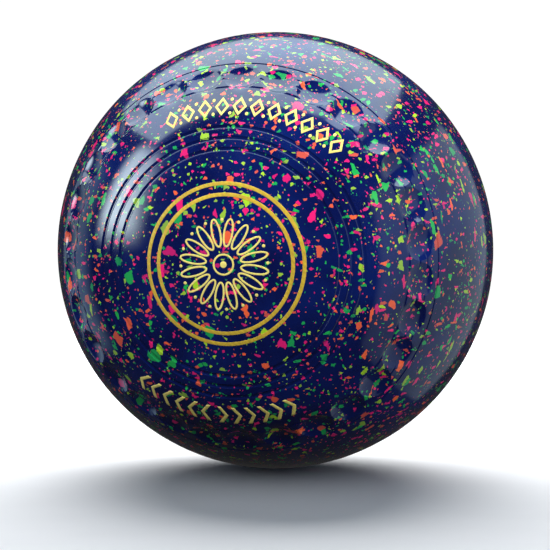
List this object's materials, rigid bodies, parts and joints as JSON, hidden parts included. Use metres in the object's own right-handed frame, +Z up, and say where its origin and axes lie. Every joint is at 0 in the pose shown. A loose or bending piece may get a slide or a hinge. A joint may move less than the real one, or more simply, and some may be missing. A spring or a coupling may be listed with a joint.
{
  "type": "lawn bowl",
  "caption": "Biased bowl for the green: a flattened resin ball with finger grips, turned grooves and painted engraving on both sides.",
  "frame": {"origin": "centre of the bowl's bounding box, on the axle line, 0.4 mm from the running line's plane", "axes": "Y is the axle line through both poles, with the bias side (the smaller rings) facing -Y and the plain side facing +Y; Z is up, with the running sole resting at -Z; X completes the right-handed set"},
  "size_m": [0.124, 0.1124, 0.124],
  "materials": {
    "resin": "polished navy-blue resin with moulded-in pink, orange, green and yellow chips",
    "ring_paint": "gold enamel filled into a turned ring",
    "pale_paint": "pale gold enamel filled into engraving"
  },
  "bodies": {
    "root": {"bowl_body": "resin", "bias_inner_ring_paint": "ring_paint", "bias_outer_ring_paint": "ring_paint", "bias_rosette_petals_paint": "pale_paint", "bias_rosette_hub_paint": "pale_paint", "bias_upper_band_paint": "pale_paint", "bias_lower_band_paint": "pale_paint", "plain_inner_ring_paint": "ring_paint", "plain_outer_ring_paint": "ring_paint", "plain_rosette_petals_paint": "pale_paint", "plain_rosette_hub_paint": "pale_paint", "plain_upper_band_paint": "pale_paint", "plain_lower_band_paint": "pale_paint"}
  },
  "joints": []
}
